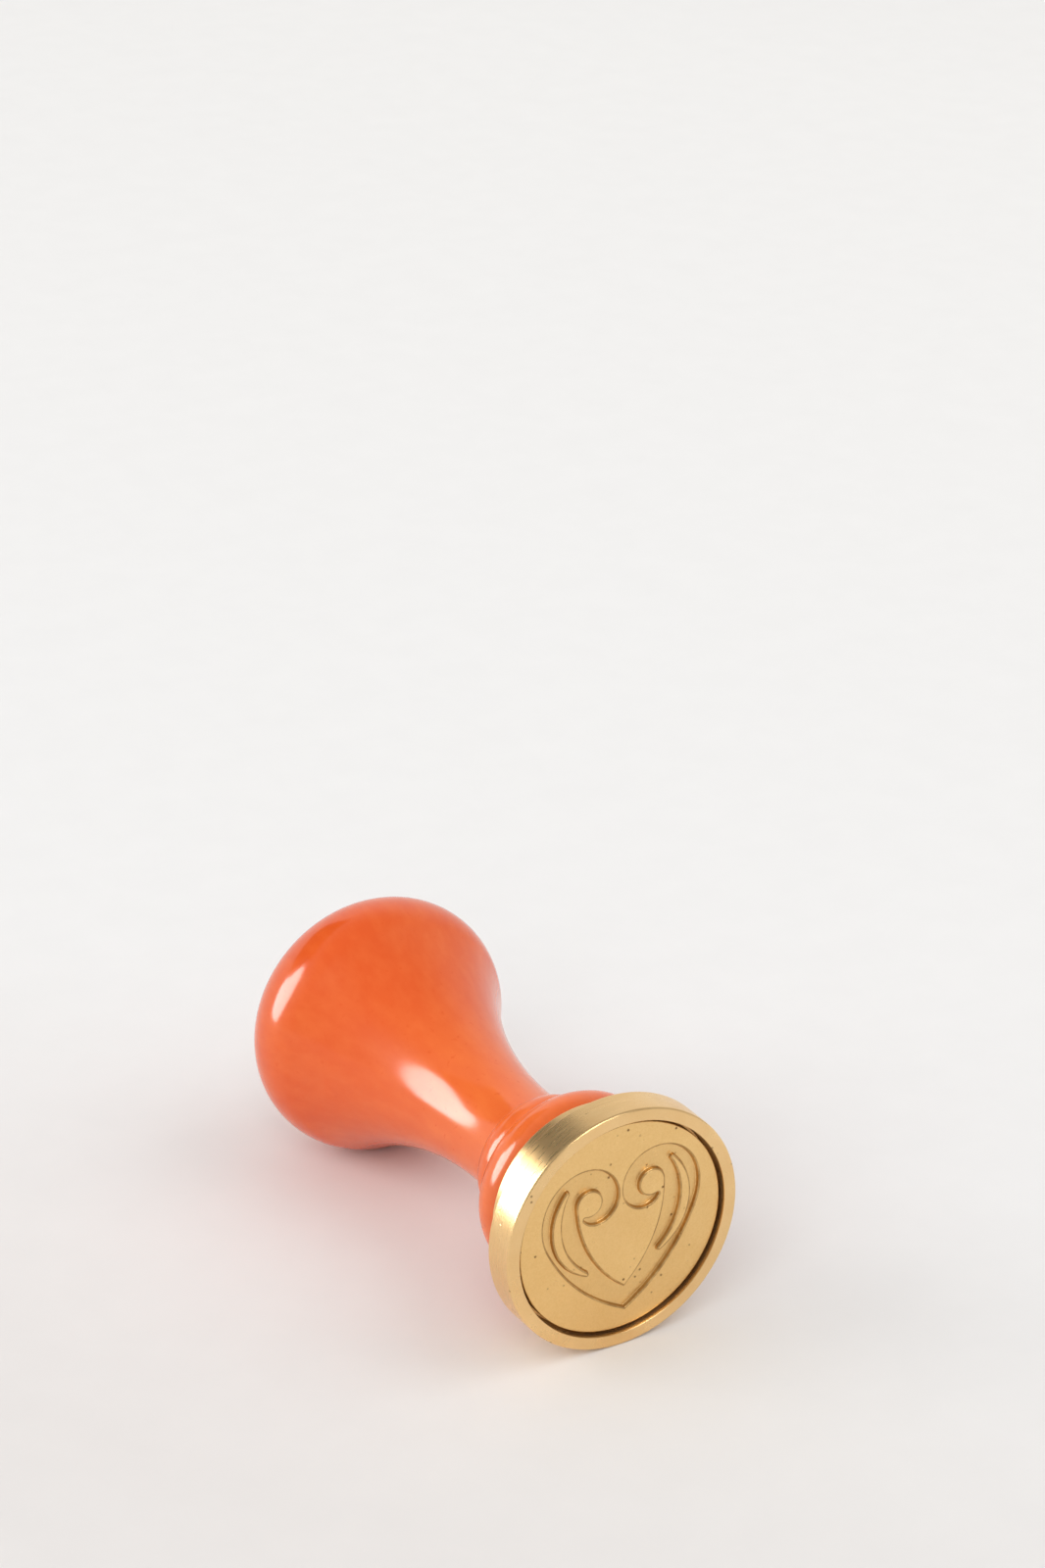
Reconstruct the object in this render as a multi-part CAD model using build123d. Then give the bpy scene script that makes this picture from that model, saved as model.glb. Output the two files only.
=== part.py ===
import os
from math import asin, atan2, cos, degrees, hypot, radians, sin

from build123d import *

# Wax seal stamp lying on its side: a turned, lacquered handle and a brass head that screws onto it.
# Each piece is drawn along the stamp's own axis, with the front of the rim at height 0 and the handle
# below it. At the end the whole stamp is laid down on its rim and its bulb. All sizes are millimetres.

# Brass head, a turned plate with a narrow rim round a pocket, and a collar behind it
head_radius = 12.5
plate_height = 3.45
rim_width = 1.3
edge_break = 0.12
pocket_depth = 2.2
collar_radius = 9.85
collar_height = 3.7

# Engraved disc that sits in the cup
disc_recess = 0.5
disc_gap = 0.3
disc_edge_radius = 0.25
engraving_depth = 0.38

# Stud that holds the cup, with a flat round flange under the disc
stud_radius = 2.5
stud_length = 7.2
stud_point = 0.5
flange_radius = 4.5
flange_height = 0.8

# Brass insert in the handle's foot, gripped by two bands with a groove between them
insert_radius = 3.5
insert_length = 8.0
insert_groove_depth = 0.35
insert_groove_length = 2.0
insert_sink = 0.2
bore_spare_depth = 0.8
drill_point_depth = 1.4

# Turned handle: places are measured from the front of the rim, back along the axis, and the bulb's cap from
# its widest place to the handle's end
handle_end = 53.0
bulb_cap = 7.6
bulb_radius = 13.3
crown_radius = 6.2
neck_place = 19.5
neck_radius = 5.4
bead_height = 4.55
bead_foot_radius = 9.2
bead_end_radius = 8.1
bead_bulge = 0.96
ring_height = 4.4
ring_foot_radius = 6.2
ring_bulge = 1.1
ring_lip = 0.2

# Room between pieces that are put together
fit = 0.05

# Where the turned surfaces begin, in degrees about the axis, a little off the horizontal
seam_angle = 1.607

# Engraved ornament, one half of a scrolled heart, drawn for a disc of this radius and scaled to the disc.
# Across and up are measured on the face of the disc, angles about the eye of the scroll, and the whole ornament
# is turned and moved a little on the disc.
drawn_disc_radius = 10.9
ornament_turn = 3.0
ornament_across = 0.2
ornament_up = -0.22
eye_across = 3.4
eye_up = 3.9
eye_radius = 1.4
scroll_radius = 3.08
scroll_flare = 2.9
scroll_flare_power = 3.4
scroll_pinch = 1.3
scroll_start_angle = -40.0
scroll_pinch_angle = 180.0
scroll_end_angle = 290.0
outer_tip = 8.7
inner_tip = 6.3
crescent_top = (5.6, 6.0)
crescent_foot = (3.95, -3.7)
crescent_outer_bulge = 2.65
crescent_inner_bulge = 1.45

# Worked out from the sizes above
pocket_radius = head_radius - rim_width
disc_radius = pocket_radius - disc_gap
floor = -pocket_depth
plate_back = -plate_height
head_back = plate_back - collar_height
foot = head_back - fit
bore_radius = insert_radius + fit
bulb_place = handle_end - bulb_cap

# The crown is the round edge of the bulb, and the end is a flatter dome tangent to it
crown_across = bulb_radius - crown_radius
dome_radius = (bulb_cap**2 + crown_across**2 - crown_radius**2) / (2 * (bulb_cap - crown_radius))


def turned(outline):
    return Rot(0, 0, seam_angle) * revolve(Plane.XZ * make_face(outline), Axis.Z)


def about_eye(angle, radius):
    return (eye_across + radius * cos(radians(angle)), eye_up + radius * sin(radians(angle)))


def scroll_reach(angle):
    # Wide at the shoulder, closing towards the eye, then pinched into the curled end
    turn = (angle - scroll_start_angle) / (scroll_end_angle - scroll_start_angle)
    curl = max(0.0, angle - scroll_pinch_angle) / (scroll_end_angle - scroll_pinch_angle)
    return scroll_radius + scroll_flare * (1 - turn) ** scroll_flare_power - scroll_pinch * curl**2


def make_handle():
    ring_start = foot - bead_height
    ring_top = ring_start - ring_height
    crown = (crown_across, -bulb_place)

    # The taper is one arc, upright at the neck and tangent to the crown of the bulb
    drop = bulb_place - neck_place
    rise = bulb_radius - neck_radius
    taper_radius = (drop**2 + rise**2) / (2 * rise) - crown_radius
    taper = (neck_radius + taper_radius, -neck_place)
    share = taper_radius / (taper_radius + crown_radius)
    taper_end = (taper[0] + (crown[0] - taper[0]) * share, taper[1] + (crown[1] - taper[1]) * share)

    # The dome is centred on the axis
    dome = (0.0, dome_radius - handle_end)
    share = dome_radius / (dome_radius - crown_radius)
    dome_start = (crown[0] * share, dome[1] + (crown[1] - dome[1]) * share)

    outline = Line((0, foot), (bead_foot_radius, foot))
    outline += SagittaArc((bead_foot_radius, foot), (bead_end_radius, ring_start), bead_bulge)
    outline += Line((bead_end_radius, ring_start), (ring_foot_radius, ring_start))
    outline += SagittaArc((ring_foot_radius, ring_start), (neck_radius + ring_lip, ring_top), ring_bulge)
    outline += TangentArc((neck_radius, -neck_place), (neck_radius + ring_lip, ring_top), tangent=(0, 1))
    outline += TangentArc((neck_radius, -neck_place), taper_end, tangent=(0, -1))
    outline += ThreePointArc(taper_end, (bulb_radius, -bulb_place), dome_start)
    outline += TangentArc((0, -handle_end), dome_start, tangent=(1, 0))
    outline += Line((0, -handle_end), (0, foot))
    body = turned(outline)

    bore_end = foot - insert_sink - insert_length - bore_spare_depth
    bore = Polyline(
        (0, foot), (bore_radius, foot), (bore_radius, bore_end), (0, bore_end - drill_point_depth), close=True
    )
    return body - turned(bore)


def make_insert():
    top = foot - insert_sink
    groove_top = top - (insert_length - insert_groove_length) / 2
    groove_end = groove_top - insert_groove_length
    end = top - insert_length
    hole = stud_radius + fit
    groove = insert_radius - insert_groove_depth
    outline = Polyline(
        (hole, top),
        (insert_radius, top),
        (insert_radius, groove_top),
        (groove, groove_top),
        (groove, groove_end),
        (insert_radius, groove_end),
        (insert_radius, end),
        (hole, end),
        close=True,
    )
    return turned(outline)


def make_stud():
    flange_top = floor - fit
    flange_foot = flange_top - flange_height
    tip = head_back - stud_length
    outline = Polyline(
        (0, flange_top),
        (flange_radius, flange_top),
        (flange_radius, flange_foot),
        (stud_radius, flange_foot),
        (stud_radius, tip + stud_point),
        (stud_radius - stud_point, tip),
        (0, tip),
        close=True,
    )
    return turned(outline)


def make_cup():
    seat = floor - fit - flange_height
    hole = stud_radius + fit
    seat_radius = flange_radius + fit
    outline = Polyline(
        (pocket_radius, 0),
        (head_radius - edge_break, 0),
        (head_radius, -edge_break),
        (head_radius, plate_back + edge_break),
        (head_radius - edge_break, plate_back),
        (collar_radius, plate_back),
        (collar_radius, head_back + edge_break),
        (collar_radius - edge_break, head_back),
        (hole, head_back),
        (hole, seat),
        (seat_radius, seat),
        (seat_radius, floor),
        (pocket_radius, floor),
        close=True,
    )
    return turned(outline)


def make_ornament():
    # Band of one half: round the scroll to its curled end, back along the eye, then both sides to the tip
    steps = 12
    span = scroll_end_angle - scroll_start_angle
    angles = [scroll_start_angle + span * i / steps for i in range(steps + 1)]
    scroll = [about_eye(angle, scroll_reach(angle)) for angle in angles]
    end_reach = scroll_reach(scroll_end_angle)
    end_width = end_reach - eye_radius
    end_turn = degrees(end_width / (2 * eye_radius + end_width))
    end_middle = about_eye(scroll_end_angle + end_turn, eye_radius + end_width / 2)
    eye_end = about_eye(scroll_end_angle, eye_radius)
    eye_start = about_eye(0, eye_radius)

    # Direction in which the scroll leaves its shoulder, from how fast it narrows there
    narrowing = scroll_flare * scroll_flare_power / radians(span)
    shoulder_lean = radians(scroll_start_angle)
    reach = scroll_reach(scroll_start_angle)
    shoulder_way = (
        narrowing * cos(shoulder_lean) + reach * sin(shoulder_lean),
        narrowing * sin(shoulder_lean) - reach * cos(shoulder_lean),
    )

    outline = Spline(scroll)
    outline += ThreePointArc(scroll[-1], end_middle, eye_end)
    outline += ThreePointArc(eye_end, about_eye(scroll_end_angle / 2, eye_radius), eye_start)
    outline += TangentArc(eye_start, (0, -inner_tip), tangent=(0, -1))
    outline += Line((0, -inner_tip), (0, -outer_tip))
    outline += TangentArc(scroll[0], (0, -outer_tip), tangent=shoulder_way)
    band = make_face(outline)

    # A crescent is left standing in the broad side of the band
    crescent = SagittaArc(crescent_top, crescent_foot, crescent_outer_bulge)
    crescent += SagittaArc(crescent_foot, crescent_top, -crescent_inner_bulge)
    half = band - make_face(crescent)
    ornament = half + mirror(half, about=Plane.YZ)
    place = Pos(ornament_across, ornament_up) * Rot(0, 0, ornament_turn)
    return scale(place * ornament, by=disc_radius / drawn_disc_radius)


def make_disc():
    face = -disc_recess
    outline = Polyline((0, floor), (disc_radius, floor), (disc_radius, face), (0, face), close=True)
    blank = turned(outline)
    blank = fillet(blank.edges().group_by(Axis.Z)[-1], disc_edge_radius)
    cut = extrude(Plane.XY.offset(face - engraving_depth) * make_ornament(), 2 * engraving_depth)
    return blank - cut


def lying_place():
    # The ground line passes the rim's front corner and is tangent to the bulb's crown
    across = crown_across - head_radius
    along = bulb_place - edge_break
    lean = atan2(across, along) + asin(crown_radius / hypot(across, along))
    back = (handle_end - dome_radius) * cos(lean) + dome_radius
    front = (head_radius - edge_break) * sin(lean)
    height = head_radius * cos(lean) - edge_break * sin(lean)
    place = ((back - front) / 2, 0, height)
    return Plane(origin=place, x_dir=(0, 1, 0), z_dir=(cos(lean), 0, -sin(lean)))


pieces = {
    "handle": make_handle(),
    "threaded_insert": make_insert(),
    "threaded_stud": make_stud(),
    "head_cup": make_cup(),
    "seal_disc": make_disc(),
}

lying = lying_place()
os.makedirs("parts", exist_ok=True)
for name, piece in pieces.items():
    export_step(lying.location * piece, f"parts/{name}.step")
print("rim centre", lying.origin, "axis out of the face", lying.z_dir)
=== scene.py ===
import math
import bmesh
import bpy
import numpy as np
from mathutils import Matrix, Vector


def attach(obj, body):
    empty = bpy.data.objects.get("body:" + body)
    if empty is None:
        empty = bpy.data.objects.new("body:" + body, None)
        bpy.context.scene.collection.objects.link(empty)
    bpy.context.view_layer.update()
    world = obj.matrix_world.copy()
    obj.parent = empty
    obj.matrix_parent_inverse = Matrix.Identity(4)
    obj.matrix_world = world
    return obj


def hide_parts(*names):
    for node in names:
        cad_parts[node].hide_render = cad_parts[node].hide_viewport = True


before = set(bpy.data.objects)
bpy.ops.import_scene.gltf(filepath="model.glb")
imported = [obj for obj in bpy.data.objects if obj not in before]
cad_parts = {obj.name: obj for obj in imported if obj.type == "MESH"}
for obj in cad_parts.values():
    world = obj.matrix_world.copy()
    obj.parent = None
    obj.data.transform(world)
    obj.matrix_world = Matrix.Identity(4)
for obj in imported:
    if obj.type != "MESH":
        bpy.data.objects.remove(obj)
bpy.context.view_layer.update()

# The stamp lies on its rim and its bulb. Pieces are worked out along the stamp's own axis, in millimetres:
# across and up on the seal face, along out of the face, with the front of the rim at along 0.
stampLie = dict(rimCentre=(26.3883, 0.0, 12.4959), lean=0.017687)
millimetre = 0.001
tiny = 1e-9  # keeps a length that is divided by from being 0
# Points nearer than merge are joined, and an edge bent by more than sharpAngle degrees is shaded as an edge
meshLook = dict(merge=1e-7, sliver=1e-8, sharpAngle=38)


def lieDown(across, up, along):
    # Turns by the lean about the world's Y axis, moves to the rim's centre, and goes to metres
    c, s = math.cos(stampLie["lean"]), math.sin(stampLie["lean"])
    x, y, z = stampLie["rimCentre"]
    return np.stack([x + c * along + s * up, y + across, z - s * along + c * up], axis=-1) * millimetre


def turnAngles(steps):
    # Even angles once round the axis, in one row
    return np.linspace(0, 2 * math.pi, steps, endpoint=False)[None, :]


def gridFaces(rows, cols, wrapRows=False):
    # Quads of a rows by cols grid, closed round the columns and, for a ring-shaped piece, round the rows too
    i = np.arange(rows if wrapRows else rows - 1)[:, None]
    j = np.arange(cols)[None, :]
    k, n = (i + 1) % rows, (j + 1) % cols
    return np.stack([i * cols + j, i * cols + n, k * cols + n, k * cols + j], axis=-1).reshape(-1, 4)


def turnedGrid(radius, along, steps):
    # Surface of turning: every profile point carried once round the axis. The radius may differ on the way.
    turn = turnAngles(steps)
    r = radius if radius.ndim == 2 else radius[:, None]
    return lieDown(r * np.cos(turn), r * np.sin(turn), along[:, None] + 0 * turn).reshape(-1, 3)


def arcTo(centre, start, end, steps):
    # Circle about the centre from start to end, the short way round: the centre plus the radius times the
    # cosine and sine of evenly spaced angles
    a = math.degrees(math.atan2(start[1] - centre[1], start[0] - centre[0]))
    b = math.degrees(math.atan2(end[1] - centre[1], end[0] - centre[0]))
    b = a + (b - a + 180) % 360 - 180
    angle = np.radians(np.linspace(a, b, steps))
    radius = math.dist(centre, start)
    return np.stack([centre[0] + radius * np.cos(angle), centre[1] + radius * np.sin(angle)], axis=-1)


def bulgedArc(start, end, bulge, steps):
    # Arc whose middle stands off the chord by the bulge, to the left of the way from start to end
    start, end = np.array(start, float), np.array(end, float)
    chord = end - start
    half = np.hypot(*chord) / 2
    left = np.array([-chord[1], chord[0]]) / (2 * half)
    radius = (half**2 + bulge**2) / (2 * abs(bulge))
    centre = (start + end) / 2 + left * math.copysign(1, bulge) * (abs(bulge) - radius)
    return arcTo(centre, start, end, steps)


def softCorners(corners, setbacks, closed, steps=5, flatShare=0.4):
    # Each corner P becomes the curve (1-t)^2 A + 2t(1-t) P + t^2 B between points A and B, a setback away on
    # either side. One more point beyond A and beyond B lets the flats keep their own shading.
    p = np.array(corners, float)
    back = np.array(setbacks, float)[:, None]
    before, after = np.roll(p, 1, axis=0) - p, np.roll(p, -1, axis=0) - p
    before /= np.maximum(np.linalg.norm(before, axis=1, keepdims=True), tiny)
    after /= np.maximum(np.linalg.norm(after, axis=1, keepdims=True), tiny)
    a, b = (p + before * back)[:, None], (p + after * back)[:, None]
    t = np.linspace(0, 1, steps)[None, :, None]
    curve = (1 - t) ** 2 * a + 2 * t * (1 - t) * p[:, None] + t**2 * b
    flat = flatShare * back[:, None]
    curve = np.concatenate([a + before[:, None] * flat, curve, b + after[:, None] * flat], axis=1)
    curve = curve.reshape(-1, 2)
    if not closed:  # the first and last corner stay as they are
        curve = np.concatenate([p[:1], curve[steps + 2 : -(steps + 2)], p[-1:]])
    return curve


def makePiece(name, points, faces, body, slotName, material, node):
    # Puts the worked-out points and faces into a mesh, closes seams and poles, and joins it to its CAD body
    mesh = bpy.data.meshes.new(name)
    mesh.from_pydata(points.tolist(), [], faces if isinstance(faces, list) else faces.tolist())
    work = bmesh.new()
    work.from_mesh(mesh)
    bmesh.ops.remove_doubles(work, verts=work.verts, dist=meshLook["merge"])
    bmesh.ops.dissolve_degenerate(work, edges=work.edges, dist=meshLook["sliver"])
    bmesh.ops.recalc_face_normals(work, faces=work.faces)
    work.to_mesh(mesh)
    work.free()
    mesh.shade_smooth()
    mesh.set_sharp_from_angle(angle=math.radians(meshLook["sharpAngle"]))
    piece = bpy.data.objects.new(name, mesh)
    bpy.context.scene.collection.objects.link(piece)
    mesh.materials.append(material)
    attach(piece, body)
    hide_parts(node)
    print("made", name, len(mesh.polygons), "faces")


def makeTurned(name, radius, along, steps, closed, *belongs):
    # A turned piece, with its section closed to a ring or ending on the axis
    makePiece(name, turnedGrid(radius, along, steps), gridFaces(len(along), steps, closed), *belongs)


# Helpers for materials

def feed(tree, node, inputs):
    # Inputs by name or number: another node's output is linked, anything else is set
    for name, value in inputs.items():
        if isinstance(value, bpy.types.NodeSocket):
            tree.links.new(value, node.inputs[name])
        else:
            node.inputs[name].default_value = value
    return node


def addNode(tree, kind, inputs):
    return feed(tree, tree.nodes.new("ShaderNode" + kind), inputs)


def opaque(tone):
    return (*tone, 1)


def newMaterial(name):
    material = bpy.data.materials.new(name)
    material.use_nodes = True
    return material, material.node_tree, material.node_tree.nodes["Principled BSDF"]


def objectPlace(tree, stretch=(1, 1, 1)):
    # Object coordinates, moved to the rim's centre and turned to the stamp's own axis, then stretched
    place = tree.nodes.new("ShaderNodeTexCoord").outputs["Object"]
    centre = [size * millimetre for size in stampLie["rimCentre"]]
    own = tree.nodes.new("ShaderNodeMapping")
    own.vector_type = "TEXTURE"
    feed(tree, own, {"Vector": place, "Location": centre, "Rotation": (0, stampLie["lean"], 0)})
    return addNode(tree, "Mapping", {"Vector": own.outputs["Vector"], "Scale": stretch}).outputs["Vector"]


def axisPlace(tree, vector, axis):
    return addNode(tree, "SeparateXYZ", {"Vector": vector}).outputs[axis]


def rise(tree, value, start, end, top=1.0):
    # From 0 at the start in a straight line to the top at the end, level on either side
    inputs = {"Value": value, "From Min": start, "From Max": end, "To Max": top}
    return addNode(tree, "MapRange", inputs).outputs["Result"]


def noise(tree, vector, scale, detail, roughness=0.55):
    inputs = {"Vector": vector, "Scale": scale, "Detail": detail, "Roughness": roughness}
    return addNode(tree, "TexNoise", inputs).outputs["Fac"]


def ramp(tree, value, stops):
    # Stops are (place, colour or number) from left to right
    node = addNode(tree, "ValToRGB", {"Fac": value})
    band = node.color_ramp.elements
    for i, (place, tone) in enumerate(stops):
        element = band[i] if i < 2 else band.new(place)  # a new ramp has two stops
        element.position = place
        element.color = opaque(tone if isinstance(tone, tuple) else (tone,) * 3)
    return node.outputs["Color"]


def faded(tree, value, span, first, second):
    # The first tone up to the start of the span, the second from its end
    return ramp(tree, value, [(span[0], first), (span[1], second)])


def mottled(tree, vector, v, first, second):
    return faded(tree, noise(tree, vector, v["scale"], v["detail"]), v["span"], first, second)


def mixed(tree, amount, first, second, mode="MIX"):
    # The numbers are the factor's and the two colours' sockets, which share their names with others
    node = tree.nodes.new("ShaderNodeMix")
    node.data_type, node.blend_type = "RGBA", mode
    first, second = (opaque(tone) if isinstance(tone, tuple) else tone for tone in (first, second))
    return feed(tree, node, {0: amount, 6: first, 7: second}).outputs[2]


def bumped(tree, height, distance, strength, under=None):
    node = addNode(tree, "Bump", {"Height": height, "Distance": distance, "Strength": strength})
    if under is not None:
        feed(tree, node, {"Normal": under})
    return node.outputs["Normal"]


# Handle: turned wood under thick orange lacquer. Spans along the handle are metres from the rim.
handleLook = dict(
    steps=224, foot=-7.2, beadHeight=4.55, beadFoot=9.2, beadEnd=8.1, beadBulge=0.96,
    ringHeight=4.4, ringFoot=6.2, ringBulge=1.1, ringLip=0.2,
    neckPlace=19.5, neckRadius=5.4, bulbPlace=45.4, bulbRadius=13.3, crownRadius=6.2, end=53.0,
    boreRadius=3.55, boreEnd=-16.2, drillPoint=1.4, boreSoft=0.1, mouthSoft=0.2,
    beadPoints=49, ringPoints=29, covePoints=9, taperPoints=57, crownPoints=25, domePoints=33,
    orange=(0.75, 0.106, 0.015), deepOrange=(0.73, 0.086, 0.010), paleOrange=(0.84, 0.160, 0.032),
    footOrange=(0.93, 0.228, 0.052), footSpan=(-0.038, -0.018),
    # The crease tone, span and share paint shade on the bead next to the brass
    creaseShadeOrange=(0.46, 0.075, 0.014), creaseShadeSpan=(-0.0092, -0.0072), creaseShadeShare=0.6,
    cloud=dict(scale=95, detail=4, span=(0.36, 0.66)), cloudShare=0.45,
    grain=dict(scale=620, detail=3, span=(0.4, 0.72)), grainShare=0.32, grainLay=(0.35, 1, 1),
    specks=dict(scale=1500, detail=2, span=(0.64, 0.78)), speckShare=0.7,
    dulling=dict(scale=260, detail=3, span=(0.3, 0.7)), baseRoughness=(0.36, 0.50),
    peelScale=330, peelDetail=2, peelHeight=0.0003, peelBump=0.035, coatRoughness=0.15, coatIor=1.5,
)


def handleProfile(v):
    # Radius and place along the axis, from the bottom of the bore round the foot to the far end of the bulb:
    # straight bore, one bulged arc each for the bead and the ring, a cove into the neck, one long taper arc
    # tangent to the round crown of the bulb, and a flatter dome tangent to that crown, centred on the axis
    foot, neck, bulb, crown = v["foot"], v["neckRadius"], v["bulbRadius"], v["crownRadius"]
    ringStart = foot - v["beadHeight"]
    ringTop = ringStart - v["ringHeight"]
    lip = (neck + v["ringLip"], ringTop)
    neckAt = (neck, -v["neckPlace"])
    bulbAt = (bulb, -v["bulbPlace"])
    crownAt = np.array([bulb - crown, -v["bulbPlace"]])
    drop, widening = v["bulbPlace"] - v["neckPlace"], bulb - neck
    taperRadius = (drop**2 + widening**2) / (2 * widening) - crown
    taperAt = np.array([neck + taperRadius, -v["neckPlace"]])
    taperEnd = taperAt + (crownAt - taperAt) * taperRadius / (taperRadius + crown)
    beyond = v["end"] - v["bulbPlace"]
    domeRadius = (beyond**2 + crownAt[0] ** 2 - crown**2) / (2 * (beyond - crown))
    domeAt = np.array([0.0, domeRadius - v["end"]])
    domeStart = domeAt + (crownAt - domeAt) * domeRadius / (domeRadius - crown)
    coveRadius = (v["ringLip"] ** 2 + (v["neckPlace"] + ringTop) ** 2) / (2 * v["ringLip"])
    boreCorners = [
        (0, v["boreEnd"] - v["drillPoint"]), (v["boreRadius"], v["boreEnd"]),
        (v["boreRadius"], foot), (v["beadFoot"], foot),
    ]
    return np.concatenate([
        softCorners(boreCorners, [0, v["boreSoft"], v["mouthSoft"], 0], closed=False),
        bulgedArc((v["beadFoot"], foot), (v["beadEnd"], ringStart), v["beadBulge"], v["beadPoints"])[1:],
        bulgedArc((v["ringFoot"], ringStart), lip, v["ringBulge"], v["ringPoints"]),
        arcTo((neck + coveRadius, -v["neckPlace"]), lip, neckAt, v["covePoints"])[1:],
        arcTo(taperAt, neckAt, taperEnd, v["taperPoints"])[1:],
        arcTo(crownAt, taperEnd, bulbAt, v["crownPoints"])[1:],
        arcTo(crownAt, bulbAt, domeStart, v["crownPoints"])[1:],
        arcTo(domeAt, domeStart, (0, -v["end"]), v["domePoints"])[1:],
    ])


def orangeLacquer(v):
    material, tree, shader = newMaterial("orangeLacquer")
    place = objectPlace(tree)
    along = axisPlace(tree, place, "X")
    tone = mixed(tree, rise(tree, along, *v["footSpan"]), v["orange"], v["footOrange"])  # paler to the foot
    cloud = mottled(tree, place, v["cloud"], v["deepOrange"], v["paleOrange"])
    tone = mixed(tree, v["cloudShare"], tone, cloud)
    streaks = mottled(tree, objectPlace(tree, v["grainLay"]), v["grain"], 0.0, 1.0)
    tone = mixed(tree, v["grainShare"], tone, mixed(tree, streaks, v["deepOrange"], v["paleOrange"]))
    # Painted shade: the lacquer darkens where the bead meets the brass, standing in for the plate's shade
    creaseShade = rise(tree, along, *v["creaseShadeSpan"], v["creaseShadeShare"])  # darker where the bead meets the brass
    tone = mixed(tree, creaseShade, tone, v["creaseShadeOrange"])
    specks = mottled(tree, place, v["specks"], 0.0, v["speckShare"])
    peel = bumped(tree, noise(tree, place, v["peelScale"], v["peelDetail"]), v["peelHeight"], v["peelBump"])
    feed(tree, shader, {
        "Base Color": mixed(tree, specks, tone, v["deepOrange"]),
        "Roughness": mottled(tree, place, v["dulling"], *v["baseRoughness"]),
        "Normal": peel, "Coat Normal": peel,
        "Coat Weight": 1.0, "Coat Roughness": v["coatRoughness"], "Coat IOR": v["coatIor"],
        "Specular IOR Level": 0.0,  # the shine is the coat's alone
    })
    return material


profile = handleProfile(handleLook)
makeTurned(
    "handle_lacquered", profile[:, 0], profile[:, 1], handleLook["steps"], False,
    "handle", "lacquered_wood", orangeLacquer(handleLook), "handle",
)


# Brass: one recipe for the satin cup, the engraved disc and the turned insert. Heights are metres.
brassLook = dict(
    cloud=dict(scale=210, detail=4, span=(0.32, 0.68)), patch=dict(scale=330, detail=2, span=(0.46, 0.58)),
    lineNoise=(3, 0.6), lineSpan=(0.25, 0.75), roughnessSwing=0.07,
    grainNoise=(3, 0.65), grainSpan=(0.3, 0.7), fineHeight=0.00003,
    pitSpan=(0.07, 0.15), pitRoughness=0.6, pitHeight=0.00008, pitBump=0.6, brushedTurn=0.25,
)


def satinBrass(name, v):
    b = brassLook
    material, tree, shader = newMaterial(name)
    place = objectPlace(tree)
    lines = noise(tree, objectPlace(tree, v["lay"]), v["lineScale"], *b["lineNoise"])
    grain = noise(tree, place, v["grainScale"], *b["grainNoise"])
    cloud = mottled(tree, place, b["cloud"], v["deepBrass"], v["brass"])
    fine = faded(tree, grain, b["grainSpan"], v["deepBrass"], v["brass"])
    tone = mixed(tree, v["grainTone"], cloud, fine)
    cells = addNode(tree, "TexVoronoi", {"Vector": place, "Scale": v["pitScale"]}).outputs["Distance"]
    patch = mottled(tree, place, b["patch"], 0.0, 1.0)  # pits come in patches
    pits = mixed(tree, 1.0, faded(tree, cells, b["pitSpan"], v["pits"], 0.0), patch, "MULTIPLY")
    # Painted shade: the cut walls, the sides below the face and, faintly, the cut floors are darkened like
    # shade and dark reflections in a cut
    if "cutShadeTone" in v:  # the cut walls and the sides below the face are darker
        lowest = (v["face"] - v["wallShadeReach"] * v["depth"]) * millimetre
        height = rise(tree, axisPlace(tree, place, "X"), lowest, v["face"] * millimetre)
        uneven = mottled(tree, place, v["wallShadeMottle"], v["wallShadeLeast"], 1.0)
        wall = mixed(tree, 1.0, ramp(tree, height, v["wallShadeStops"]), uneven, "MULTIPLY")
        tone = mixed(tree, wall, tone, v["cutShadeTone"])
    dull, swing = v["roughness"], b["roughnessSwing"]
    rough = faded(tree, lines, b["lineSpan"], dull - swing, dull + swing)
    normal = bumped(tree, lines, b["fineHeight"], v["lineBump"])
    normal = bumped(tree, grain, b["fineHeight"], v["grainBump"], normal)
    unpitted = addNode(tree, "Invert", {"Color": pits}).outputs["Color"]
    feed(tree, shader, {
        "Base Color": mixed(tree, pits, tone, v["tarnish"]),
        "Roughness": mixed(tree, pits, rough, (b["pitRoughness"],) * 3),
        "Normal": bumped(tree, unpitted, b["pitHeight"], b["pitBump"], normal),
        "Metallic": 1.0,
    })
    if "brushed" in v:  # turning lines run round the axis, so the shine is stretched along it
        tangent = tree.nodes.new("ShaderNodeTangent")
        tangent.direction_type, tangent.axis = "RADIAL", "X"
        feed(tree, shader, {
            "Tangent": tangent.outputs["Tangent"],
            "Anisotropic": v["brushed"], "Anisotropic Rotation": b["brushedTurn"],
        })
    return material


# Head cup: turned brass plate with a narrow flat rim, and a collar behind it
cupLook = dict(
    steps=256, radius=12.5, pocket=11.2, floor=-2.2, plateBack=-3.45, collar=9.85, back=-7.15,
    hole=2.55, seat=-3.05, seatRadius=4.55,
    lipSoft=0.09, rimSoft=0.24, backSoft=0.12, collarSoft=0.3, holeSoft=0.05, floorSoft=0.1,
    brass=(0.93, 0.65, 0.32), deepBrass=(0.86, 0.56, 0.25), tarnish=(0.16, 0.085, 0.03),
    roughness=0.30, brushed=0.75, lay=(1, 0.04, 0.04), lineScale=7000, lineBump=0.30,
    grainScale=5200, grainTone=0.30, grainBump=0.30, pitScale=900, pits=0.6,
)


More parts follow.
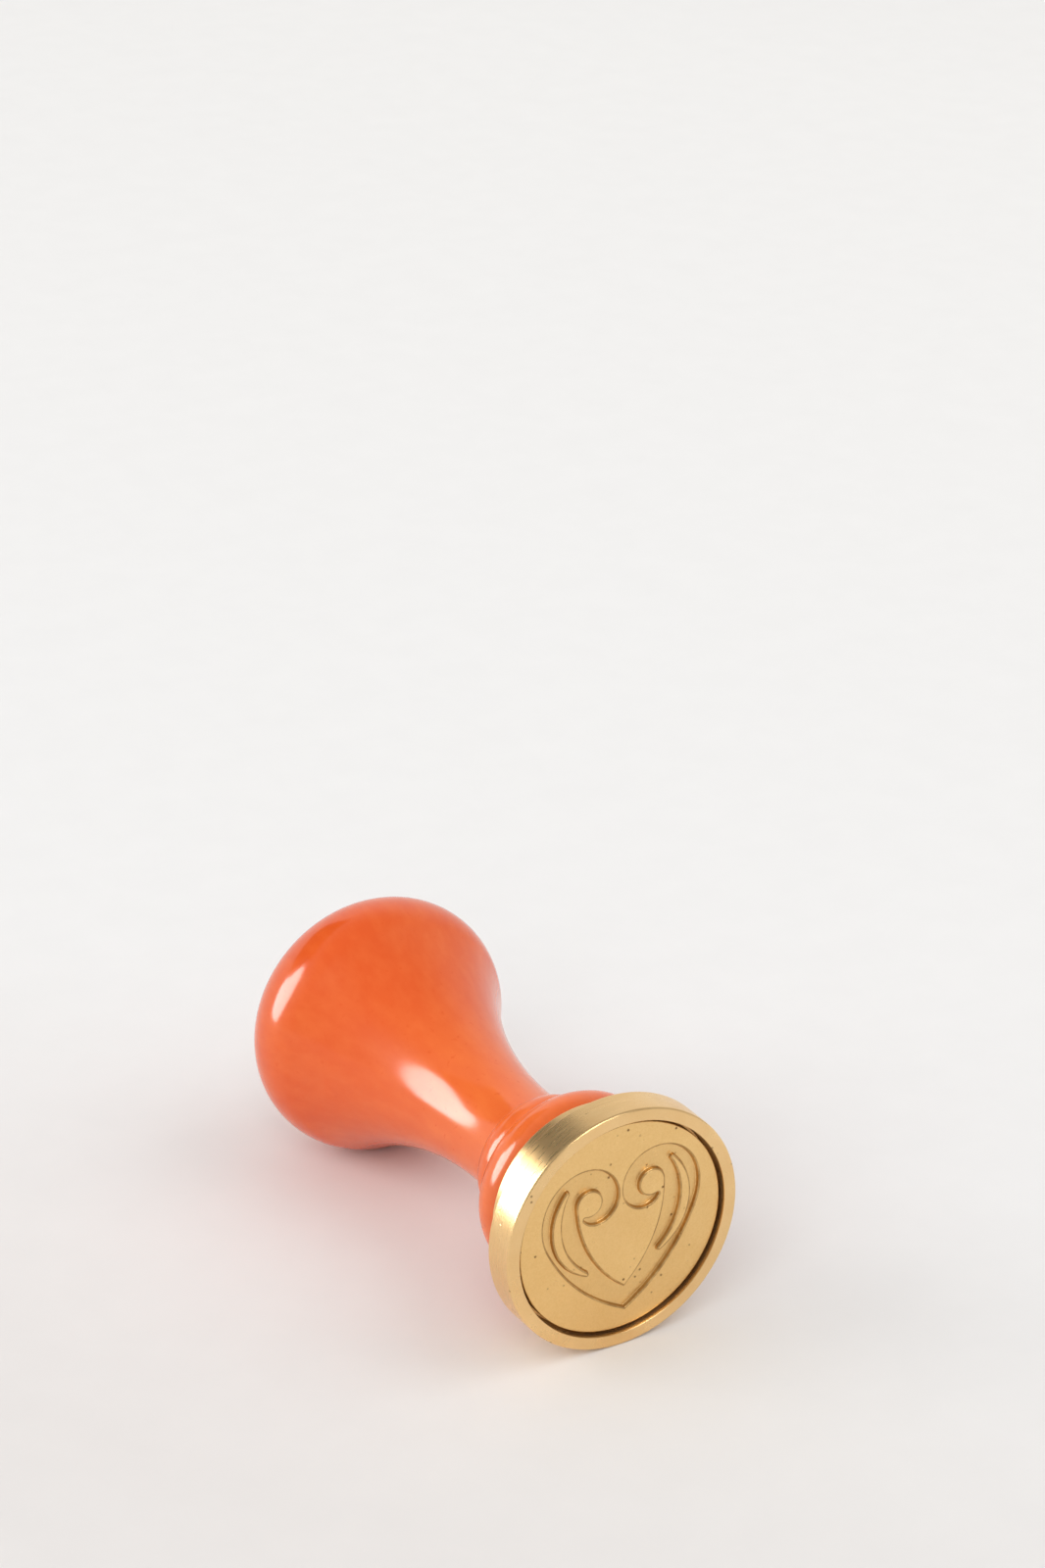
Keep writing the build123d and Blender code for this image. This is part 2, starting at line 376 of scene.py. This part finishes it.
def cupProfile(v):
    # Section of the cup, corner by corner from the rim's inner edge, each softened by its own setback
    corners = [
        (v["pocket"], 0), (v["radius"], 0), (v["radius"], v["plateBack"]), (v["collar"], v["plateBack"]),
        (v["collar"], v["back"]), (v["hole"], v["back"]), (v["hole"], v["seat"]),
        (v["seatRadius"], v["seat"]), (v["seatRadius"], v["floor"]), (v["pocket"], v["floor"]),
    ]
    outside = [v["lipSoft"], v["rimSoft"], v["backSoft"], v["collarSoft"], v["backSoft"]]
    return softCorners(corners, outside + [v["holeSoft"]] * 4 + [v["floorSoft"]], closed=True)


profile = cupProfile(cupLook)
makeTurned(
    "head_cup_satin", profile[:, 0], profile[:, 1], cupLook["steps"], True,
    "head", "cup_brass", satinBrass("cupBrass", cupLook), "head_cup",
)


# Seal disc: engraved with a scrolled heart. The section of a cut edge gives the distance inside the outline
# and the depth, as shares of the whole depth. The stops of the painted shade on the walls run from the given
# reach, in depths, below the face up.
discLook = dict(
    steps=256, radius=10.9, flatRadius=10.3, floor=-2.2, face=-0.5,
    floorSoft=0.08, edgeSoft=0.14, edgePoints=9, depth=0.38, turn=3.0, shift=(0.2, -0.22), mitreLeast=0.45,
    eye=(3.4, 3.9), eyeRadius=1.4, scroll=3.08, flare=2.9, flarePower=3.4, pinch=1.3,
    scrollStart=-40.0, pinchStart=180.0, scrollEnd=290.0, outerTip=8.7, innerTip=6.3,
    crescentTop=(4.48, 7.06), crescentFoot=(2.38, -4.32), crescentOuter=4.08, crescentInner=2.98,
    scrollPoints=150, eyePoints=110, sidePoints=60, crescentPoints=80, crescentShort=10,
    section=np.array([
        (-0.56, 0), (-0.50, -0.012), (-0.46, -0.012), (-0.43, 0.022), (-0.28, 0.035), (-0.14, 0.055),
        (-0.03, 0.11), (0.03, 0.21), (0.10, 0.48), (0.16, 0.78), (0.21, 0.91), (0.27, 0.98),
        (0.36, 1), (0.46, 1),
    ]),
    # Painted shade in the cuts: its tone, its reach below the face, its least share, its stops and its mottle
    cutShadeTone=(0.34, 0.18, 0.06), wallShadeReach=1.2, wallShadeLeast=0.45,
    wallShadeStops=[
        (0.0, 0.8), (0.14, 0.08), (0.18, 0.10), (0.26, 0.52),
        (0.80, 0.55), (0.955, 0.80), (0.984, 0.75), (0.992, 0.0),
    ],
    wallShadeMottle=dict(scale=900, detail=3, span=(0.3, 0.6)),
    brass=(0.92, 0.62, 0.27), deepBrass=(0.84, 0.54, 0.21), tarnish=(0.20, 0.095, 0.028),
    roughness=0.33, lay=(1, 1, 1), lineScale=700, lineBump=0.05,
    grainScale=4800, grainTone=0.70, grainBump=1.0, pitScale=880, pits=0.85,
)


def roundEnd(start, end, side, steps=13):
    # Half circle from start to end without its ends, bulging to the right of that way for side 1, left for -1
    middle, half = (start + end) / 2, (start - end) / 2
    ahead = side * np.array([-half[1], half[0]])
    t = np.linspace(0, math.pi, steps)[1:-1, None]
    return middle + half * np.cos(t) + ahead * np.sin(t)


def sideArc(start, way, tip, steps):
    # Arc that leaves the start along the given way and ends on the heart's middle line at the tip
    normal = np.array([-way[1], way[0]]) / math.hypot(*way)
    gap = np.array([0.0, tip]) - start
    centre = start + normal * (gap @ gap) / (2 * (gap @ normal))
    return arcTo(centre, start, (0.0, tip), steps)


def aboutEye(v, angle, reach):
    # The eye plus the reach times the angle's cosine and sine
    a = np.radians(angle)
    return np.stack([v["eye"][0] + reach * np.cos(a), v["eye"][1] + reach * np.sin(a)], axis=-1)


def heartOutline(v):
    # Right half from the outer tip: side arc to the shoulder, a scroll whose reach from the eye falls with
    # the remaining turn to a power and is pinched at its end, a round end, back along the circle of the eye,
    # side arc to the inner tip. The left half is its mirror image in reverse.
    angle = np.linspace(v["scrollStart"], v["scrollEnd"], v["scrollPoints"])
    remaining = (v["scrollEnd"] - angle) / (v["scrollEnd"] - v["scrollStart"])
    curl = np.maximum(0, angle - v["pinchStart"]) / (v["scrollEnd"] - v["pinchStart"])
    reach = v["scroll"] + v["flare"] * remaining ** v["flarePower"] - v["pinch"] * curl**2
    outer = aboutEye(v, angle, reach)
    inner = aboutEye(v, np.linspace(v["scrollEnd"], 0, v["eyePoints"]), v["eyeRadius"])
    right = np.concatenate([
        sideArc(outer[0], outer[0] - outer[1], -v["outerTip"], v["sidePoints"])[::-1],
        outer[1:], roundEnd(outer[-1], inner[0], 1), inner,
        sideArc(inner[-1], (0, -1), -v["innerTip"], v["sidePoints"])[1:],
    ])
    return np.concatenate([right, (right * [-1, 1])[::-1][1:-1]])


def crescentOutline(v):
    # Two bulged arcs between the crescent's ends, both bent outwards, cut short and joined by half circles
    top, foot, short = v["crescentTop"], v["crescentFoot"], v["crescentShort"]
    out = bulgedArc(top, foot, v["crescentOuter"], v["crescentPoints"])[short:-short]
    back = bulgedArc(foot, top, -v["crescentInner"], v["crescentPoints"])[short:-short]
    return np.concatenate([out, roundEnd(out[-1], back[0], -1), back, roundEnd(back[-1], out[0], -1)])


def cutWall(outline, v, island):
    # The cut section carried along a closed outline: each point moves along the mitred normal, into the cut,
    # by the section's distance, and down by its depth. Round an island the cut lies outside the outline.
    x, y = outline.T
    area = np.sum(x * np.roll(y, -1) - np.roll(x, -1) * y)
    path = outline if (area > 0) != island else outline[::-1]
    step = np.roll(path, -1, axis=0) - path
    normal = np.stack([-step[:, 1], step[:, 0]], axis=-1) / np.linalg.norm(step, axis=1, keepdims=True)
    last = np.roll(normal, 1, axis=0)
    mitre = np.maximum(1 + np.sum(normal * last, axis=1, keepdims=True), v["mitreLeast"])
    mitre = (normal + last) / mitre
    place = path[None] + mitre[None] * v["section"][:, None, :1] * v["depth"]
    along = v["face"] - v["depth"] * v["section"][:, 1:] + 0 * place[..., 0]
    return lieDown(place[..., 0], place[..., 1], along), len(path)


def filled(points, loops):
    # Triangles of the flat region between closed loops of point numbers
    numbers = np.concatenate(loops)
    sizes = [len(loop) for loop in loops]
    starts = np.cumsum([0] + sizes)
    here = [np.arange(size) for size in sizes]
    edges = [np.stack([own, np.roll(own, -1)], axis=-1) + start for own, start in zip(here, starts)]
    sheet = bpy.data.meshes.new("fill")
    sheet.from_pydata(points[numbers].tolist(), np.concatenate(edges).tolist(), [])
    work = bmesh.new()
    work.from_mesh(sheet)
    bmesh.ops.triangle_fill(work, edges=work.edges, use_beauty=True)
    work.to_mesh(sheet)
    work.free()
    found = np.zeros(len(sheet.loops), dtype=np.int32)
    sheet.loops.foreach_get("vertex_index", found)
    bpy.data.meshes.remove(sheet)
    return numbers[found].reshape(-1, 3).tolist()


def makeDisc(v):
    # Turned back and edge, the cut walls of the heart and its two crescents, and flat fills between them
    edge = softCorners(
        [(0, v["floor"]), (v["radius"], v["floor"]), (v["radius"], v["face"]), (v["flatRadius"], v["face"])],
        [0, v["floorSoft"], v["edgeSoft"], 0], closed=False, steps=v["edgePoints"],
    )
    parts, faces = [turnedGrid(edge[:, 0], edge[:, 1], v["steps"])], [gridFaces(len(edge), v["steps"])]
    rim = np.arange(v["steps"]) + (len(edge) - 1) * v["steps"]
    count = len(parts[0])
    rows = len(v["section"])
    crescent = crescentOutline(v)
    c, s = math.cos(math.radians(v["turn"])), math.sin(math.radians(v["turn"]))
    tops, floors = [], []
    for outline, island in ((heartOutline(v), False), (crescent, True), (crescent * [-1, 1], True)):
        wall, size = cutWall(outline @ [[c, s], [-s, c]] + v["shift"], v, island)
        parts.append(wall.reshape(-1, 3))
        faces.append(gridFaces(rows, size) + count)
        tops.append(np.arange(size) + count)
        floors.append(np.arange(size) + count + (rows - 1) * size)
        count += len(parts[-1])
    points, quads = np.concatenate(parts), np.concatenate(faces).tolist()
    fills = filled(points, [rim, tops[0]]) + filled(points, [tops[1]]) + filled(points, [tops[2]])
    return points, quads + fills + filled(points, floors)


discPoints, discFaces = makeDisc(discLook)
makePiece(
    "seal_disc_engraved", discPoints, discFaces,
    "head", "disc_brass", satinBrass("discBrass", discLook), "seal_disc",
)


# Threaded stud: flange under the disc and a rolled right-hand thread
threadLook = dict(pitch=0.8, steepness=1.35, crestFlat=0.16)  # the stud's and the insert's
studLook = dict(
    steps=96, radius=2.5, threadDepth=0.46, flangeTop=-2.25, flangeRadius=4.5, flangeFoot=-3.05,
    tip=-14.35, point=0.5, flangeSoft=0.12, rootSoft=0.1,
    plainShank=0.5, shankPoints=150, runInLead=0.1, runIn=0.5, tipShare=0.4,
    zinc=(0.62, 0.62, 0.60), darkZinc=(0.44, 0.44, 0.43), cloud=dict(scale=420, detail=4, span=(0.3, 0.7)),
    roughness=(0.24, 0.42), dulling=dict(scale=1500, detail=3, span=(0.3, 0.7)),
    grainScale=4000, grainDetail=2, grainHeight=0.00002, grainBump=0.2,
)


def threadWave(along, turn):
    # Flattened triangle wave of the place along the axis less one pitch a turn: 0 on the crest, 1 in the root
    phase = (along / threadLook["pitch"] - turn / (2 * math.pi)) % 1.0
    return np.clip(threadLook["steepness"] * (1 - np.abs(2 * phase - 1)) - threadLook["crestFlat"], 0, 1)


def studGrid(v):
    # Turned section of flange and shank, with the shank's radius lowered by the thread wave, which fades in
    # below the flange and fades to a share at the tip
    radius, tip, point = v["radius"], v["tip"], v["point"]
    shank = np.linspace(v["flangeFoot"] - v["plainShank"], tip + point, v["shankPoints"])
    corners = [
        (0, v["flangeTop"]), (v["flangeRadius"], v["flangeTop"]), (v["flangeRadius"], v["flangeFoot"]),
        (radius, v["flangeFoot"]), (radius, shank[0]),
    ]
    profile = np.concatenate([
        softCorners(corners, [0, v["flangeSoft"], v["flangeSoft"], v["rootSoft"], 0], closed=False),
        np.stack([0 * shank[1:] + radius, shank[1:]], axis=-1),
        [(radius - point / 2, tip + point / 2), (radius - point, tip), (0, tip)],
    ])
    along = profile[:, 1:]
    fadeIn = np.clip((shank[0] + v["runInLead"] - along) / v["runIn"], 0, 1)
    fadeOut = np.clip((along - tip) / point * (1 - v["tipShare"]) + v["tipShare"], 0, 1)
    depth = v["threadDepth"] * fadeIn * fadeOut * threadWave(along, turnAngles(v["steps"]))
    return np.maximum(profile[:, :1] - depth, 0), profile[:, 1]


def zincPlate(v):
    material, tree, shader = newMaterial("zincPlate")
    place = objectPlace(tree)
    grain = noise(tree, place, v["grainScale"], v["grainDetail"])
    feed(tree, shader, {
        "Base Color": mottled(tree, place, v["cloud"], v["darkZinc"], v["zinc"]),
        "Roughness": mottled(tree, place, v["dulling"], *v["roughness"]),
        "Normal": bumped(tree, grain, v["grainHeight"], v["grainBump"]),
        "Metallic": 1.0,
    })
    return material


makeTurned(
    "threaded_stud_zinc", *studGrid(studLook), studLook["steps"], False,
    "stud", "plated_steel", zincPlate(studLook), "threaded_stud",
)


# Threaded insert: two knurled bands outside, a thread inside
insertLook = dict(
    steps=240, radius=3.5, top=-7.4, length=8.0, grooveLength=2.0, grooveDepth=0.35, hole=2.55,
    threadDepth=0.3, knurls=40, knurlDepth=0.224, knurlLean=0.88,
    edgeSoft=0.12, mouthSoft=0.1, outerPoints=60, holePoints=100,
    brass=(0.88, 0.66, 0.33), deepBrass=(0.80, 0.56, 0.26), tarnish=(0.2, 0.11, 0.04),
    roughness=0.26, lay=(1, 0.05, 0.05), lineScale=5000, lineBump=0.1,
    grainScale=5200, grainTone=0.14, grainBump=0.1, pitScale=900, pits=0.3,
)


def insertGrid(v):
    # Closed section: the hole widens by the thread wave, and the bands are lowered between two crossed waves
    top, end = v["top"], v["top"] - v["length"]
    grooveTop = top - (v["length"] - v["grooveLength"]) / 2
    grooveEnd = grooveTop - v["grooveLength"]
    inside, outside = v["hole"] + v["edgeSoft"], v["radius"] - v["edgeSoft"]
    outer = np.linspace(top - v["edgeSoft"], end + v["edgeSoft"], v["outerPoints"])
    inGroove = ((outer < grooveTop) & (outer > grooveEnd)).astype(float)
    hole = np.linspace(end + v["mouthSoft"], top - v["mouthSoft"], v["holePoints"])
    profile = np.concatenate([
        [(inside, top), (outside, top)],
        np.stack([v["radius"] - v["grooveDepth"] * inGroove, outer], axis=-1),
        [(outside, end), (inside, end)],
        np.stack([0 * hole + v["hole"], hole], axis=-1),
    ])
    along = profile[:, 1:]
    turn = turnAngles(v["steps"])
    isBand = np.zeros((len(profile), 1))
    isBand[2 : 2 + len(outer), 0] = 1 - inGroove
    isHole = np.zeros((len(profile), 1))
    isHole[-len(hole) :, 0] = 1
    lean = along * v["knurlLean"] / v["radius"]
    crossed = np.maximum(*(np.abs(np.sin((turn + way * lean) * v["knurls"] / 2)) for way in (1, -1)))
    radius = profile[:, :1] - v["knurlDepth"] * isBand * (1 - crossed)
    return radius + v["threadDepth"] * isHole * threadWave(along, turn), profile[:, 1]


makeTurned(
    "threaded_insert_brass", *insertGrid(insertLook), insertLook["steps"], True,
    "handle", "insert_brass", satinBrass("insertBrass", insertLook), "threaded_insert",
)


# Floor, light and camera, in metres. The floor's painted light and shade runs along a line turned by
# shadeTurn degrees, and the room's spans are shares of the way across and up.
stageLook = dict(
    floorSize=2.4, floorRoughness=0.9, floorShine=0.1,
    # The three floor tones paint light and shade, darker near the camera and lighter far from it
    nearShadeTone=(0.768, 0.743, 0.728), midShadeTone=(0.849, 0.842, 0.837), farShadeTone=(0.913, 0.903, 0.891),
    shadeTurn=-120, shadeMove=0.05, shadeStops=(0.0, 0.08, 0.43),
    mottle=dict(scale=160, detail=3, span=(0.3, 0.7)), mottleTone=0.985,
    paperScale=900, paperDetail=3, paperHeight=0.0002, paperBump=0.05,
    skyLight=0.68, skyTone=(1.0, 0.995, 0.985), backdrop=(0.78, 0.775, 0.76),
    roomLeft=(0.95, 0.94, 0.92), roomRight=(0.46, 0.45, 0.43), overhead=(0.36, 0.35, 0.34),
    sideSpan=(-0.6, 0.3), topSpan=(0.60, 0.92),
    flagPlace=(-0.50, -0.20, 0.42), flagSize=(0.53, 0.34), flagTone=(0.06, 0.055, 0.05),
    aim=(0, 0, 0.012),
)
# Lamps: matt ones light matt surfaces, the others are only seen in the shine
lampLook = dict(
    softKey=dict(place=(1.051, -1.051, 1.338), size=(1.5, 1.5), power=11.5, matt=True),
    softFill=dict(place=(0.737, 1.053, 1.532), size=(1.5, 1.5), power=7.4, matt=True),
    softWindow=dict(place=(-0.448, -0.960, 0.563), size=(0.8, 0.8), power=3.5, matt=True),
    softBoxLeft=dict(place=(-0.394, -0.571, 0.238), size=(0.38, 0.56), power=5.5, matt=False),
    softBoxFront=dict(place=(0.620, 0.109, 0.493), size=(0.40, 0.40), power=2.0, matt=False),
)


def paleFloor(v):
    # Painted light and shade: the floor is a little lighter away from the camera and to its right, with a
    # faint paper grain
    material, tree, shader = newMaterial("paleFloor")
    place = tree.nodes.new("ShaderNodeTexCoord").outputs["Object"]
    turned = addNode(tree, "Mapping", {
        "Vector": place, "Rotation": (0, 0, math.radians(v["shadeTurn"])), "Location": (v["shadeMove"], 0, 0),
    })
    stops = zip(v["shadeStops"], (v["nearShadeTone"], v["midShadeTone"], v["farShadeTone"]))
    tone = ramp(tree, axisPlace(tree, turned.outputs["Vector"], "X"), stops)
    mottle = mottled(tree, place, v["mottle"], v["mottleTone"], 1.0)
    paper = noise(tree, place, v["paperScale"], v["paperDetail"])
    feed(tree, shader, {
        "Base Color": mixed(tree, 1.0, tone, mottle, "MULTIPLY"),
        "Normal": bumped(tree, paper, v["paperHeight"], v["paperBump"]),
        "Roughness": v["floorRoughness"], "Specular IOR Level": v["floorShine"],
    })
    return material


def flatPanel(name, width, height, material):
    # Flat sheet about the origin, square to its own Z
    x, y = width / 2, height / 2
    mesh = bpy.data.meshes.new(name)
    mesh.from_pydata([(-x, -y, 0), (x, -y, 0), (x, y, 0), (-x, y, 0)], [], [(0, 1, 2, 3)])
    mesh.materials.append(material)
    panel = bpy.data.objects.new(name, mesh)
    bpy.context.scene.collection.objects.link(panel)
    return panel


def aimed(way):
    # Turn of a lamp, panel or camera that looks along the way, kept upright
    return Vector(way).to_track_quat("-Z", "Y").to_euler()


def setAt(thing, place):
    # Stands at the place and looks at the stamp
    thing.location = place
    thing.rotation_euler = aimed(Vector(stageLook["aim"]) - Vector(place))


def makeFlag(v):
    # Dark panel beside the softbox, seen only in the shine of the brass
    material, _, shader = newMaterial("darkFlag")
    shader.inputs["Base Color"].default_value = opaque(v["flagTone"])
    flag = flatPanel("flag", *v["flagSize"], material)
    setAt(flag, v["flagPlace"])
    flag.visible_camera = flag.visible_diffuse = flag.visible_shadow = False


def makeLamp(name, v):
    lamp = bpy.data.lights.new(name, "AREA")
    lamp.shape = "ELLIPSE"
    lamp.size, lamp.size_y = v["size"]
    lamp.energy = v["power"]
    holder = bpy.data.objects.new(name, lamp)
    setAt(holder, v["place"])
    holder.visible_camera = False
    holder.visible_diffuse, holder.visible_glossy = v["matt"], not v["matt"]
    bpy.context.scene.collection.objects.link(holder)


def makeWorld(v):
    # Even soft light for matt surfaces, a pale room that dims at the top for shiny ones, and a plain backdrop
    # for the camera
    world = bpy.data.worlds.new("softRoom")
    bpy.context.scene.world = world
    world.use_nodes = True
    tree = world.node_tree
    way = tree.nodes.new("ShaderNodeTexCoord").outputs["Generated"]
    room = mixed(tree, rise(tree, axisPlace(tree, way, "X"), *v["sideSpan"]), v["roomLeft"], v["roomRight"])
    top = faded(tree, axisPlace(tree, way, "Z"), v["topSpan"], 0.0, 1.0)
    even = feed(tree, tree.nodes["Background"], {"Color": opaque(v["skyTone"]), "Strength": v["skyLight"]})
    shiny = addNode(tree, "Background", {"Color": mixed(tree, top, room, v["overhead"])})
    behind = addNode(tree, "Background", {"Color": opaque(v["backdrop"])})
    rays = tree.nodes.new("ShaderNodeLightPath").outputs
    shader = even.outputs["Background"]
    for ray, light in (("Is Glossy Ray", shiny), ("Is Camera Ray", behind)):
        inputs = {"Fac": rays[ray], 1: shader, 2: light.outputs["Background"]}
        shader = addNode(tree, "MixShader", inputs).outputs["Shader"]
    feed(tree, tree.nodes["World Output"], {"Surface": shader})


flatPanel("floor", stageLook["floorSize"], stageLook["floorSize"], paleFloor(stageLook))
makeFlag(stageLook)
makeWorld(stageLook)
for lampName, look in lampLook.items():
    makeLamp(lampName, look)
print("made floor, world and lamps")

cameraLook = dict(
    place=(0.32067, -0.19105, 0.22231), forward=(-0.7723, 0.4727, -0.4244),
    lens=101.25, sensor=36, clip=(0.01, 50),  # lens and sensor in millimetres
)
lens = bpy.data.cameras.new("camera")
lens.lens, lens.sensor_width = cameraLook["lens"], cameraLook["sensor"]
lens.clip_start, lens.clip_end = cameraLook["clip"]
camera = bpy.data.objects.new("camera", lens)
camera.location = cameraLook["place"]
camera.rotation_euler = aimed(cameraLook["forward"])
bpy.context.scene.collection.objects.link(camera)
bpy.context.scene.camera = camera
bpy.context.scene.view_settings.view_transform = "Standard"
print("camera set")
